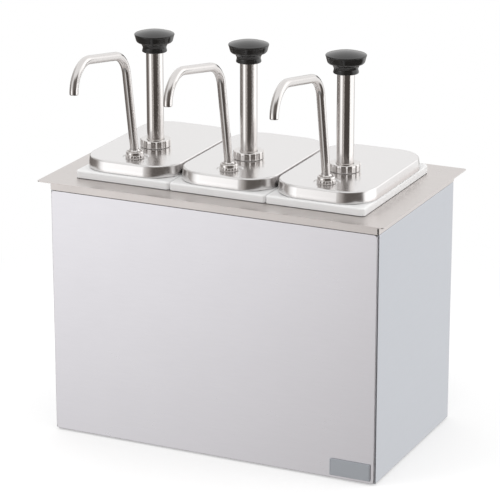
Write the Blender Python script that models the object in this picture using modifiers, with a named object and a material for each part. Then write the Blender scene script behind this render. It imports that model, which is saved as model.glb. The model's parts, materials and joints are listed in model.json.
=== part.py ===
"""Three-jar condiment pump dispenser for a serving counter.

A folded stainless cabinet carries a top plate with three cut-outs. A plastic jar hangs by its rim in
each cut-out, and a stainless lid on each jar carries a plunger pump with a bent discharge tube.
Units are metres, +Z is up and the discharge tubes point towards -Y. The origin is on the counter,
below the centre of the whole object's box.
"""

import math

import bmesh
import bpy
from mathutils import Matrix, Vector

COLLECTION_NAME = "condiment_pump_dispenser"
GAP = 0.0003                      # clearance between neighbouring pieces
CUT_MARGIN = 0.0010               # how far a cutter passes beyond the face it opens

# Cabinet
SHEET = 0.0008                    # thickness of the folded sheet
CABINET_WIDTH = 0.3990            # over the two side panels
CABINET_DEPTH = 0.2255            # over the front and back panels
PANEL_BOTTOM = 0.0020             # height of the panels' lower edges above the counter
PANEL_HEIGHT = 0.2866
FRONT_PANEL_WIDTH = 0.3964
HEM_DEPTH = 0.0016                # thickness of a panel's doubled edge
HEM_RADIUS = 0.0007
RETURN_FLANGE = 0.0080            # width of the side panels' and base's folded flanges
BEND_RADIUS = 0.0012
PANEL_CORNER_RADIUS = 0.0040
SKIRT_HEIGHT = 0.0110             # strip between the panels and the top plate
SKIRT_NOTCH = 0.0017              # open corner between two strips
SKIRT_LEDGE = 0.0120              # width of the strip frame's flat ledge
PLATE_THICKNESS = 0.0010
PLATE_TOP = 0.3014
PLATE_SIZE = (0.4195, 0.2490)     # overhangs the cabinet on every side
PLATE_CORNER_RADIUS = 0.0035
NAMEPLATE_SIZE = (0.0484, 0.0008, 0.0197)
NAMEPLATE_FROM_RIGHT = 0.0041
NAMEPLATE_FROM_BOTTOM = 0.0033
FOOT_RADIUS = 0.0090
FOOT_EDGE = 0.0006                # chamfer round the foot's tread
FOOT_INSET = 0.0300
FOOT_STEM_RADIUS = 0.0030
FOOT_STEM_TOP = 0.0040            # above the base panel's underside
FOOT_BARB = 0.0009                # how far the barb stands out from the stem
FOOT_BARB_TOP = 0.0024

# Jars and lids, from the pump's axis
STATION_COUNT = 3
STATION_PITCH = 0.1171
PUMP_FROM_FRONT = 0.1005          # cabinet front to the pump's axis
CUTOUT_SIZE = (0.1070, 0.1830)
CUTOUT_CORNER_RADIUS = 0.0140
JAR_WALL = 0.0022
JAR_RIM_SIZE = (0.1167, 0.1930)
JAR_RIM_CENTRE_Y = 0.0127
JAR_RIM_HEIGHT = 0.0093           # above the top plate
JAR_RIM_ROUND = 0.0022
JAR_DEPTH = 0.2410                # rim's top to the underside
JAR_MOUTH_INSET = 0.0083          # rim's outer edge to the inner wall
JAR_TAPER = 0.0030                # how far each wall leans in by the floor
JAR_FRONT_CORNER_RADIUS = 0.0040
JAR_BACK_CORNER_RADIUS = 0.0100
JAR_INNER_CORNER_RADIUS = 0.0200
JAR_FLOOR_ROUND = 0.0040
LID_SIZE = (0.1162, 0.1876)       # over the wall's lower edge
LID_CENTRE_Y = 0.0142
LID_HEIGHT = 0.0135
LID_CORNER_RADIUS = 0.0354
LID_DRAFT = 0.0014                # how far the wall leans in by the lid's top edge
LID_EDGE_ROUND = 0.0025
DISH_RADIUS = 0.0145              # round recess pressed into the lid for the discharge nut
DISH_DEPTH = 0.0010
DISH_BEHIND_NUT = 0.0025

# Pump
TUBE_TILT = 0.1760                # the riser leans forward this much for each metre up
RISER_PASSES_NUT = 0.3290         # height where the riser crosses the discharge nut's axis
NUT_Y = -0.0514
TUBE_SWIVEL = (0.0, -2.2, 0.0)     # how far each tube is turned about its nut, in degrees
NUT_RADIUS = 0.0107
NUT_HEIGHT = 0.0082
NUT_LOBES = 14
NUT_LOBE_HEIGHT = 0.0045
NUT_BAND_STEP = 0.0006            # the plain band above the lobes stands this far in
NUT_CHAMFER = 0.0013
NUT_BORE_CLEARANCE = 0.0013       # lets the leaning tube pass
COLLAR_RADIUS = 0.0175
COLLAR_HEIGHT = 0.0087
COLLAR_FLUTES = 18
COLLAR_CHAMFER = 0.0008
COLLAR_TOP_WALL = 0.0023
FLUTE_DEPTH = 0.0008
CYLINDER_RADIUS = 0.0127
CYLINDER_WALL = 0.0010
CYLINDER_BOTTOM = 0.1436
CYLINDER_SHOULDER_RADIUS = 0.0170
CYLINDER_SHOULDER_HEIGHT = 0.0030
THREAD_CLEARANCE = 0.00035
PLUNGER_RADIUS = 0.0097
PLUNGER_WALL = 0.0010
PLUNGER_BOTTOM = 0.3060
PLUNGER_TOP = 0.4500
KNOB_BOTTOM = 0.4350
KNOB_HEIGHT = 0.0245
KNOB_RIM_HEIGHT = 0.0203
KNOB_RADIUS = 0.0227
PISTON_BOTTOM = 0.2920
PISTON_STEM = 0.0190              # how far the piston reaches up into the plunger tube
SEAL_GROOVE_DEPTH = 0.0022
SEAL_GROOVE_BOTTOM = 0.0035       # above the piston's underside
SEAL_GROOVE_TOP = 0.0100
SPRING_RADIUS = 0.0086
SPRING_WIRE = 0.0007
SPRING_TURNS = 8
SPRING_STEPS = 8                  # path points for each turn
VALVE_BOTTOM = 0.0800
VALVE_RADIUS = 0.0160
VALVE_FLOOR = 0.1433              # the cylinder stands just above this face
VALVE_CUP_DEPTH = 0.0100
VALVE_EDGE = 0.0020
INLET_RADIUS = 0.0080
INLET_HEIGHT = 0.0270
INLET_TAPER = 0.0040
INTAKE_SEAT = 0.1256
INTAKE_BALL_RADIUS = 0.0045
INTAKE_SEAT_RADIUS = 0.0035
INTAKE_CHAMBER_RADIUS = 0.0055
DISCHARGE_BALL_RADIUS = 0.0042     # too wide to enter the tube
DISCHARGE_SEAT_RADIUS = 0.0026
DISCHARGE_CHAMBER_RADIUS = 0.0047
DISCHARGE_SEAT_BELOW = 0.0145     # along the riser, below the tube's lower end
PASSAGE_BELOW = 0.0255
PASSAGE_ABOVE_SEAT = 0.0006
BOSS_RADIUS = 0.0076
BOSS_BELOW = 0.0300
BOSS_ABOVE = 0.0160
TUBE_RADIUS = 0.0048
TUBE_WALL = 0.0008
TUBE_BOTTOM = 0.1519
TUBE_BEND_RADIUS = 0.0320
TUBE_BEND_STEPS = 8
OUTLET_BEND_RADIUS = 0.0300
OUTLET_BEND_STEPS = 10
TUBE_RUN_RISE = 0.157             # the top run climbs this much for each metre forward
TUBE_RUN_AT_AXIS = 0.4354         # height of the top run's line, carried back to the pump's axis
OUTLET_Y = -0.1885
OUTLET_BOTTOM = 0.4287
TUBE_HOLE_CLEARANCE = 0.0010

# Derived
SPOUT_REACH = -OUTLET_Y + TUBE_RADIUS - PUMP_FROM_FRONT
PLATE_REACH = (PLATE_SIZE[1] + CABINET_DEPTH) / 2
FRONT_Y = (SPOUT_REACH - PLATE_REACH) / 2
MID_Y = FRONT_Y + CABINET_DEPTH / 2
PUMP_Y = FRONT_Y + PUMP_FROM_FRONT
RIM_TOP = PLATE_TOP + JAR_RIM_HEIGHT
LID_BOTTOM = RIM_TOP + GAP
LID_TOP = LID_BOTTOM + LID_HEIGHT
COLLAR_BOTTOM = LID_TOP + GAP
NUT_BOTTOM = LID_TOP - DISH_DEPTH + GAP


# ---------------------------------------------------------------- helpers

def clear_scene():
    for obj in list(bpy.data.objects):
        bpy.data.objects.remove(obj)


def new_collection(name):
    made = bpy.data.collections.new(name)
    bpy.context.scene.collection.children.link(made)
    return made


def material(name, colour, roughness, metallic=0.0):
    made = bpy.data.materials.new(name)
    made.use_nodes = True
    shader = made.node_tree.nodes["Principled BSDF"]
    shader.inputs["Base Color"].default_value = (*colour, 1.0)
    shader.inputs["Roughness"].default_value = roughness
    shader.inputs["Metallic"].default_value = metallic
    return made


def add_object(name, mesh, finish, parent=None, location=(0, 0, 0), smooth=None):
    """Link a mesh or curve as a part, shading it smooth below the given edge angle in degrees."""
    obj = bpy.data.objects.new(name, mesh)
    parts.objects.link(obj)
    obj.data.materials.clear()
    obj.data.materials.append(finish)
    obj.parent = parent
    obj.location = location
    if smooth is not None:
        mesh.shade_smooth()
        mesh.set_sharp_from_angle(angle=math.radians(smooth))
    return obj


def empty(name, parent, location, rotation):
    made = bpy.data.objects.new(name, None)
    parts.objects.link(made)
    made.parent = parent
    made.location = location
    made.rotation_euler = rotation
    return made


def mesh_from(bm, name):
    bmesh.ops.recalc_face_normals(bm, faces=bm.faces)
    mesh = bpy.data.meshes.new(name)
    bm.to_mesh(mesh)
    bm.free()
    return mesh


def solidify(obj, thickness):
    """Thicken an open surface behind its outer face."""
    modifier = obj.modifiers.new("thickness", "SOLIDIFY")
    modifier.thickness = thickness
    modifier.offset = -1.0
    modifier.use_even_offset = True
    return modifier


def bevel(obj, width, segments=2, angle=30):
    modifier = obj.modifiers.new("rounded_edges", "BEVEL")
    modifier.width = width
    modifier.segments = segments
    modifier.limit_method = "ANGLE"
    modifier.angle_limit = math.radians(angle)
    return modifier


def boolean(obj, other, operation="DIFFERENCE"):
    """Cut or join with another object, which is kept as a hidden guide."""
    for collection in list(other.users_collection):
        collection.objects.unlink(other)
    cutters.objects.link(other)
    other.hide_render = True
    other.display_type = "WIRE"
    modifier = obj.modifiers.new(other.name, "BOOLEAN")
    modifier.operation = operation
    modifier.object = other
    return modifier


def profile_mesh(name, profile, closed):
    """Mesh of a profile of (radius, height) points; a closed profile is a ring clear of the axis."""
    bm = bmesh.new()
    points = [bm.verts.new((radius, 0.0, height)) for radius, height in profile]
    pairs = list(zip(points, points[1:]))
    if closed:
        pairs.append((points[-1], points[0]))
    for first, second in pairs:
        bm.edges.new((first, second))
    mesh = bpy.data.meshes.new(name)
    bm.to_mesh(mesh)
    bm.free()
    return mesh


def turned(name, profile, finish, parent, location=(0, 0, 0), steps=18, closed=False):
    """Turned part about Z: the profile runs down the outer side from top to bottom."""
    obj = add_object(name, profile_mesh(name, profile, closed), finish, parent, location)
    screw = obj.modifiers.new("turn", "SCREW")
    screw.steps = steps
    screw.render_steps = steps
    screw.use_merge_vertices = True
    screw.merge_threshold = 0.00001
    screw.use_smooth_shade = True
    return obj


def cylinder(name, radius, bottom, top, finish, parent, steps=16):
    """Plain cylinder about the parent's Z axis between two heights."""
    bm = bmesh.new()
    bmesh.ops.create_cone(bm, cap_ends=True, segments=steps, radius1=radius, radius2=radius,
                          depth=top - bottom)
    bmesh.ops.translate(bm, verts=bm.verts, vec=(0, 0, (bottom + top) / 2))
    return add_object(name, mesh_from(bm, name), finish, parent)


def ball(name, radius, finish, parent, location):
    bm = bmesh.new()
    bmesh.ops.create_uvsphere(bm, u_segments=10, v_segments=6, radius=radius)
    return add_object(name, mesh_from(bm, name), finish, parent, location, smooth=180)


def outline(half_x, front, back, front_radius, back_radius, segments):
    """Points of a rectangle with rounded corners, from its front-left corner, as (x, y)."""
    corners = (
        (-half_x + front_radius, front + front_radius, front_radius, 180),
        (half_x - front_radius, front + front_radius, front_radius, 270),
        (half_x - back_radius, back - back_radius, back_radius, 0),
        (-half_x + back_radius, back - back_radius, back_radius, 90),
    )
    points = []
    for centre_x, centre_y, radius, start in corners:
        for step in range(segments + 1):
            turn = math.radians(start + 90 * step / segments)
            points.append((centre_x + radius * math.cos(turn), centre_y + radius * math.sin(turn)))
    return points


def lofted_skin(name, sections, cap_first=False, cap_last=False):
    """Open surface through stacked outlines: each section is (height, points)."""
    bm = bmesh.new()
    rings = [[bm.verts.new((x, y, height)) for x, y in points] for height, points in sections]
    for lower, upper in zip(rings, rings[1:]):
        for step in range(len(lower)):
            after = (step + 1) % len(lower)
            bm.faces.new((lower[step], lower[after], upper[after], upper[step]))
    if cap_first:
        bm.faces.new(list(reversed(rings[0])))
    if cap_last:
        bm.faces.new(rings[-1])
    mesh = bpy.data.meshes.new(name)
    bm.to_mesh(mesh)
    bm.free()
    return mesh


def flat_sheet(name, outlines, thickness, finish, location):
    """Flat sheet from a 2D curve: the first outline is the edge and the others are holes."""
    curve = bpy.data.curves.new(name, "CURVE")
    curve.dimensions = "2D"
    curve.fill_mode = "BOTH"
    curve.extrude = thickness / 2
    for points in outlines:
        spline = curve.splines.new("POLY")
        spline.points.add(len(points) - 1)
        for point, (x, y) in zip(spline.points, points):
            point.co = (x, y, 0.0, 1.0)
        spline.use_cyclic_u = True
    return add_object(name, curve, finish, None, location)


def tray(name, size, open_side, radius, corner_radius, finish, location):
    """Folded sheet-metal tray: a box open on one side, with bent edges and rounded face corners.

    size is its outer size, and open_side is the unit vector that its open side faces.
    """
    axis = Vector(open_side)
    bm = bmesh.new()
    bmesh.ops.create_cube(bm, size=1.0, matrix=Matrix.Diagonal((*size, 1.0)))
    opening = [face for face in bm.faces if face.normal.dot(axis) > 0.5]
    bmesh.ops.delete(bm, geom=opening, context="FACES")
    standing = [edge for edge in bm.edges
                if abs((edge.verts[0].co - edge.verts[1].co).normalized().dot(axis)) > 0.5]
    bmesh.ops.bevel(bm, geom=standing, offset=corner_radius, segments=2, profile=0.5,
                    affect="EDGES")
    face_edges = [edge for edge in bm.edges
                  if not edge.is_boundary
                  and all(vert.co.dot(axis) < 0 for vert in edge.verts)
                  and edge.calc_face_angle(0) > math.radians(60)]
    bmesh.ops.bevel(bm, geom=face_edges, offset=radius, segments=2, profile=0.5, affect="EDGES")
    obj = add_object(name, mesh_from(bm, name), finish, None, location)
    solidify(obj, SHEET)
    return obj


def arc_points(corner, before, after, radius, steps):
    """Points round a bend at a corner of a path, between the unit directions before and after it."""
    half_turn = before.angle(after) / 2
    centre_line = (after - before).normalized()
    centre = corner + centre_line * (radius / math.cos(half_turn))
    start = corner - before * (radius * math.tan(half_turn))
    spin = before.cross(after).normalized()
    points = []
    for step in range(steps + 1):
        turned_by = Matrix.Rotation(2 * half_turn * step / steps, 3, spin)
        points.append(centre + turned_by @ (start - centre))
    return points


def fluted_solid(name, count, sections):
    """Closed solid with a ridge between flutes: each section is (height, ridge and flute radius)."""
    bm = bmesh.new()
    rings = []
    for height, ridge, flute in sections:
        ring = []
        for step in range(2 * count):
            radius = ridge if step % 2 == 0 else flute
            angle = math.pi * step / count
            ring.append(bm.verts.new((radius * math.cos(angle), radius * math.sin(angle), height)))
        rings.append(ring)
    for lower, upper in zip(rings, rings[1:]):
        for step in range(2 * count):
            after = (step + 1) % (2 * count)
            bm.faces.new((lower[step], lower[after], upper[after], upper[step]))
    bm.faces.new(list(reversed(rings[0])))
    bm.faces.new(rings[-1])
    return mesh_from(bm, name)


def riser_y(height):
    """Where the discharge tube's straight riser is at a height, from the pump's axis."""
    return NUT_Y - TUBE_TILT * (height - RISER_PASSES_NUT)


# ---------------------------------------------------------------- cabinet

def build_panels():
    middle_z = PANEL_BOTTOM + PANEL_HEIGHT / 2
    front_size = (FRONT_PANEL_WIDTH, HEM_DEPTH, PANEL_HEIGHT)
    tray("front_panel", front_size, (0, 1, 0), HEM_RADIUS, PANEL_CORNER_RADIUS, steel_front,
         (0, FRONT_Y + HEM_DEPTH / 2, middle_z))
    tray("back_panel", front_size, (0, -1, 0), HEM_RADIUS, PANEL_CORNER_RADIUS, steel_side,
         (0, FRONT_Y + CABINET_DEPTH - HEM_DEPTH / 2, middle_z))
    side_depth = CABINET_DEPTH - 2 * (HEM_DEPTH + GAP)
    side_size = (RETURN_FLANGE, side_depth, PANEL_HEIGHT)
    for name, side in (("side_panel_left", -1), ("side_panel_right", 1)):
        centre_x = side * (CABINET_WIDTH - RETURN_FLANGE) / 2
        tray(name, side_size, (-side, 0, 0), BEND_RADIUS, BEND_RADIUS, steel_side,
             (centre_x, MID_Y, middle_z))


def build_base():
    """Floor tray that stands inside the side panels' lower flanges, with a hole for each foot."""
    clear = 2 * (SHEET + GAP)
    width = CABINET_WIDTH - clear
    depth = CABINET_DEPTH - 2 * (HEM_DEPTH + GAP) - clear
    floor = PANEL_BOTTOM + SHEET + GAP
    base = tray("base_panel", (width, depth, RETURN_FLANGE), (0, 0, 1), BEND_RADIUS,
                BEND_RADIUS, steel_side, (0, MID_Y, floor + RETURN_FLANGE / 2))
    head_height = floor - GAP
    foot_x = CABINET_WIDTH / 2 - FOOT_INSET
    foot_y = CABINET_DEPTH / 2 - FOOT_INSET
    stem_top, barb_top = floor + FOOT_STEM_TOP, floor + FOOT_BARB_TOP
    barb_bottom = floor + SHEET + GAP
    barb_radius = FOOT_STEM_RADIUS + FOOT_BARB
    profile = (
        (0, stem_top), (FOOT_STEM_RADIUS, stem_top), (barb_radius, barb_top),
        (barb_radius, barb_bottom), (FOOT_STEM_RADIUS, barb_bottom),
        (FOOT_STEM_RADIUS, head_height), (FOOT_RADIUS, head_height), (FOOT_RADIUS, FOOT_EDGE),
        (FOOT_RADIUS - FOOT_EDGE, 0), (0, 0),
    )
    for name, side, end in (("foot_front_left", -1, -1), ("foot_front_right", 1, -1),
                            ("foot_back_left", -1, 1), ("foot_back_right", 1, 1)):
        place = (side * foot_x, MID_Y + end * foot_y, 0)
        turned(name, profile, foot_rubber, None, place, steps=12)
        hole = cylinder(name + "_hole", FOOT_STEM_RADIUS + GAP, floor - CUT_MARGIN,
                        floor + SHEET + CUT_MARGIN, steel_side, None, 12)
        hole.location = (place[0], place[1], 0)
        boolean(base, hole)


def build_skirt_frame():
    """Flat ledge under the plate whose four edges fold down, with a narrow notch at each corner."""
    half_x = CABINET_WIDTH / 2
    half_y = CABINET_DEPTH / 2
    lines_x = (-half_x, SKIRT_NOTCH - half_x, SKIRT_LEDGE - half_x,
               half_x - SKIRT_LEDGE, half_x - SKIRT_NOTCH, half_x)
    lines_y = (-half_y, SKIRT_NOTCH - half_y, SKIRT_LEDGE - half_y,
               half_y - SKIRT_LEDGE, half_y - SKIRT_NOTCH, half_y)
    bm = bmesh.new()
    grid = [[bm.verts.new((x, y, 0)) for y in lines_y] for x in lines_x]
    last = len(lines_x) - 2
    for i in range(last + 1):
        for j in range(last + 1):
            notch = i in (0, last) and j in (0, last)
            opening = i == last / 2 and j == last / 2
            if not notch and not opening:
                bm.faces.new((grid[i][j], grid[i + 1][j], grid[i + 1][j + 1], grid[i][j + 1]))
    for axis, limit in ((0, half_x), (1, half_y)):
        for side in (-1, 1):
            edge = [e for e in bm.edges if all(abs(v.co[axis] - side * limit) < GAP for v in e.verts)]
            fold = bmesh.ops.extrude_edge_only(bm, edges=edge)["geom"]
            moved = [v for v in fold if isinstance(v, bmesh.types.BMVert)]
            bmesh.ops.translate(bm, verts=moved, vec=(0, 0, -SKIRT_HEIGHT))
    for loose in [v for v in bm.verts if not v.link_faces]:
        bm.verts.remove(loose)
    frame = add_object("skirt_frame", mesh_from(bm, "skirt_frame"), steel_plate, None,
                       (0, MID_Y, PLATE_TOP - PLATE_THICKNESS - GAP))
    solidify(frame, SHEET)


def build_top_plate():
    half_x, half_y = PLATE_SIZE[0] / 2, PLATE_SIZE[1] / 2
    outlines = [outline(half_x, -half_y, half_y, PLATE_CORNER_RADIUS, PLATE_CORNER_RADIUS, 3)]
    cut_x, cut_y = CUTOUT_SIZE[0] / 2, CUTOUT_SIZE[1] / 2
    shift_y = PUMP_Y + JAR_RIM_CENTRE_Y - MID_Y
    for x in station_places():
        hole = outline(cut_x, -cut_y, cut_y, CUTOUT_CORNER_RADIUS, CUTOUT_CORNER_RADIUS, 3)
        outlines.append([(px + x, py + shift_y) for px, py in hole])
    flat_sheet("top_plate", outlines, PLATE_THICKNESS, steel_plate,
               (0, MID_Y, PLATE_TOP - PLATE_THICKNESS / 2))


def build_nameplate():
    width, depth, height = NAMEPLATE_SIZE
    bm = bmesh.new()
    bmesh.ops.create_cube(bm, size=1.0, matrix=Matrix.Diagonal((width, depth, height, 1.0)))
    place = (FRONT_PANEL_WIDTH / 2 - NAMEPLATE_FROM_RIGHT - width / 2,
             FRONT_Y - GAP - depth / 2,
             PANEL_BOTTOM + NAMEPLATE_FROM_BOTTOM + height / 2)
    plate = add_object("nameplate", mesh_from(bm, "nameplate"), plate_grey, None, place)
    bevel(plate, depth / 3, 1)


# ---------------------------------------------------------------- one station

def build_jar(name, station):
    """Hanging jar: the skin runs up from the floor, over the rim and down its outer side."""
    half_x = JAR_RIM_SIZE[0] / 2
    front = JAR_RIM_CENTRE_Y - JAR_RIM_SIZE[1] / 2
    back = JAR_RIM_CENTRE_Y + JAR_RIM_SIZE[1] / 2
    floor = RIM_TOP - JAR_DEPTH + JAR_WALL

    def section(height, inset, front_radius, back_radius):
        points = outline(half_x - inset, front + inset, back - inset, front_radius, back_radius, 2)
        return height, points

    inner = JAR_INNER_CORNER_RADIUS
    outer_front, outer_back = JAR_FRONT_CORNER_RADIUS, JAR_BACK_CORNER_RADIUS
    at_floor = JAR_MOUTH_INSET + JAR_TAPER
    sections = (
        section(floor, at_floor + JAR_FLOOR_ROUND, inner, inner),
        section(floor + JAR_FLOOR_ROUND, at_floor, inner, inner),
        section(RIM_TOP - JAR_RIM_ROUND, JAR_MOUTH_INSET, inner, inner),
        section(RIM_TOP, JAR_MOUTH_INSET - JAR_RIM_ROUND, inner, inner),
        section(RIM_TOP, JAR_RIM_ROUND, outer_front, outer_back),
        section(RIM_TOP - JAR_RIM_ROUND, 0, outer_front, outer_back),
        section(PLATE_TOP + GAP, 0, outer_front, outer_back),
    )
    mesh = lofted_skin(name, sections, cap_first=True)
    mesh.flip_normals()
    jar = add_object(name, mesh, jar_plastic, station, smooth=40)
    solidify(jar, JAR_WALL)


def build_lid(name, station):
    """Pressed lid with a hole for the cylinder's neck and a round dish under the discharge nut."""
    half_x = LID_SIZE[0] / 2
    front = LID_CENTRE_Y - LID_SIZE[1] / 2
    back = LID_CENTRE_Y + LID_SIZE[1] / 2

    def section(height, inset):
        radius = LID_CORNER_RADIUS - inset
        return height, outline(half_x - inset, front + inset, back - inset, radius, radius, 5)

    sections = [section(LID_BOTTOM, 0)]
    for step in range(3):
        turn = math.radians(45 * step)
        inset = LID_DRAFT + LID_EDGE_ROUND * (1 - math.cos(turn))
        sections.append(section(LID_TOP - LID_EDGE_ROUND * (1 - math.sin(turn)), inset))
    lid = add_object(name, lofted_skin(name, sections, cap_last=True), steel_lid, station, smooth=50)
    solidify(lid, SHEET)

    dish_y = NUT_Y + DISH_BEHIND_NUT
    wall_middle = DISH_RADIUS + SHEET / 2
    opening = cylinder(name + "_dish_opening", wall_middle, LID_TOP - 3 * SHEET, LID_TOP + SHEET,
                       steel_lid, station, 20)
    opening.location = (0, dish_y, 0)
    boolean(lid, opening)
    profile = (
        (0, LID_TOP - DISH_DEPTH), (DISH_RADIUS, LID_TOP - DISH_DEPTH),
        (DISH_RADIUS, LID_TOP - SHEET / 4), (DISH_RADIUS + SHEET, LID_TOP - SHEET / 4),
        (DISH_RADIUS + SHEET, LID_TOP - DISH_DEPTH - SHEET), (0, LID_TOP - DISH_DEPTH - SHEET),
    )
    dish = turned(name + "_dish", profile, steel_lid, station, (0, dish_y, 0), steps=20)
    boolean(lid, dish, "UNION")
    tube_hole = cylinder(name + "_tube_hole", TUBE_RADIUS + TUBE_HOLE_CLEARANCE, LID_TOP - 5 * SHEET,
                         LID_TOP + SHEET, steel_lid, station, 12)
    tube_hole.location = (0, riser_y(LID_TOP - DISH_DEPTH), 0)
    boolean(lid, tube_hole)
    neck_hole = cylinder(name + "_neck_hole", CYLINDER_RADIUS + THREAD_CLEARANCE,
                         LID_TOP - 3 * SHEET, LID_TOP + SHEET, steel_lid, station, 18)
    boolean(lid, neck_hole)


def build_lock_collar(name, station):
    ridge, flute = COLLAR_RADIUS, COLLAR_RADIUS - FLUTE_DEPTH
    top = COLLAR_BOTTOM + COLLAR_HEIGHT
    sections = (
        (COLLAR_BOTTOM, ridge, flute), (top - COLLAR_CHAMFER, ridge, flute),
        (top, ridge - COLLAR_CHAMFER, flute - COLLAR_CHAMFER),
    )
    collar = add_object(name, fluted_solid(name, COLLAR_FLUTES, sections), steel_bright, station)
    thread_top = top - COLLAR_TOP_WALL
    thread_radius = CYLINDER_RADIUS + THREAD_CLEARANCE
    guide_radius = PLUNGER_RADIUS + THREAD_CLEARANCE
    bore = (
        (0, top + CUT_MARGIN), (guide_radius, top + CUT_MARGIN), (guide_radius, thread_top),
        (thread_radius, thread_top), (thread_radius, COLLAR_BOTTOM - CUT_MARGIN),
        (0, COLLAR_BOTTOM - CUT_MARGIN),
    )
    boolean(collar, turned(name + "_bore", bore, steel_bright, station))


def build_cylinder(name, station):
    """Pump cylinder: its threaded neck stands through the lid, and its shoulder stays below it."""
    inner = CYLINDER_RADIUS - CYLINDER_WALL
    neck_top = COLLAR_BOTTOM + COLLAR_HEIGHT - COLLAR_TOP_WALL - GAP
    shoulder_top = LID_TOP - SHEET - GAP
    shoulder_bottom = shoulder_top - CYLINDER_SHOULDER_HEIGHT
    profile = (
        (CYLINDER_RADIUS, neck_top), (CYLINDER_RADIUS, shoulder_top),
        (CYLINDER_SHOULDER_RADIUS, shoulder_top), (CYLINDER_SHOULDER_RADIUS, shoulder_bottom),
        (CYLINDER_RADIUS, shoulder_bottom), (CYLINDER_RADIUS, CYLINDER_BOTTOM),
        (inner, CYLINDER_BOTTOM), (inner, neck_top),
    )
    turned(name, profile, steel_bright, station, closed=True)


def build_plunger(number, station):
    inner = PLUNGER_RADIUS - PLUNGER_WALL
    tube = (
        (PLUNGER_RADIUS, PLUNGER_TOP), (PLUNGER_RADIUS, PLUNGER_BOTTOM),
        (inner, PLUNGER_BOTTOM), (inner, PLUNGER_TOP),
    )
    turned(f"plunger_tube_{number}", tube, steel_bright, station, closed=True)

    rim = KNOB_BOTTOM + KNOB_RIM_HEIGHT
    bore = PLUNGER_RADIUS + GAP
    crown_rise = KNOB_BOTTOM + KNOB_HEIGHT - rim
    crown = []
    for step in range(3):
        across = step / 3
        crown.append((KNOB_RADIUS * across, rim + crown_rise * (1 - across * across)))
    skirt_and_neck = (
        (1.00, KNOB_RIM_HEIGHT), (0.92, 0.0131), (0.86, 0.0112), (0.70, 0.0098),
        (0.62, 0.0074), (0.58, 0.0050), (0.62, 0.0010), (0.59, 0.0),
    )
    profile = crown + [(KNOB_RADIUS * share, KNOB_BOTTOM + height)
                       for share, height in skirt_and_neck]
    profile += [(bore, KNOB_BOTTOM), (bore, PLUNGER_TOP + GAP), (0, PLUNGER_TOP + GAP)]
    turned(f"knob_{number}", profile, knob_plastic, station)

    head_top = PLUNGER_BOTTOM - GAP
    head_radius = CYLINDER_RADIUS - CYLINDER_WALL - 2 * GAP
    groove_radius = head_radius - SEAL_GROOVE_DEPTH
    groove_bottom = PISTON_BOTTOM + SEAL_GROOVE_BOTTOM
    groove_top = PISTON_BOTTOM + SEAL_GROOVE_TOP
    stem_top = PLUNGER_BOTTOM + PISTON_STEM
    piston = (
        (0, stem_top), (inner - GAP, stem_top),
        (inner - GAP, head_top), (head_radius, head_top), (head_radius, groove_top),
        (groove_radius, groove_top), (groove_radius, groove_bottom),
        (head_radius, groove_bottom), (head_radius, PISTON_BOTTOM), (0, PISTON_BOTTOM),
    )
    turned(f"piston_{number}", piston, valve_plastic, station, steps=16)
    seal_outer, seal_inner = head_radius + GAP, groove_radius + GAP
    seal = (
        (seal_outer, groove_top - GAP), (seal_outer, groove_bottom + GAP),
        (seal_inner, groove_bottom + GAP), (seal_inner, groove_top - GAP),
    )
    turned(f"piston_seal_{number}", seal, seal_rubber, station, steps=16, closed=True)


def build_spring(name, station):
    """Return spring between the valve body's floor and the piston's underside."""
    bottom = VALVE_FLOOR + SPRING_WIRE + GAP
    top = PISTON_BOTTOM - SPRING_WIRE - GAP
    count = SPRING_TURNS * SPRING_STEPS
    curve = bpy.data.curves.new(name, "CURVE")
    curve.dimensions = "3D"
    curve.bevel_depth = SPRING_WIRE
    curve.bevel_resolution = 0
    curve.use_fill_caps = True
    spline = curve.splines.new("POLY")
    spline.points.add(count)
    for step, point in enumerate(spline.points):
        angle = 2 * math.pi * step / SPRING_STEPS
        height = bottom + (top - bottom) * step / count
        point.co = (SPRING_RADIUS * math.cos(angle), SPRING_RADIUS * math.sin(angle), height, 1.0)
    add_object(name, curve, steel_bright, station)


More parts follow.
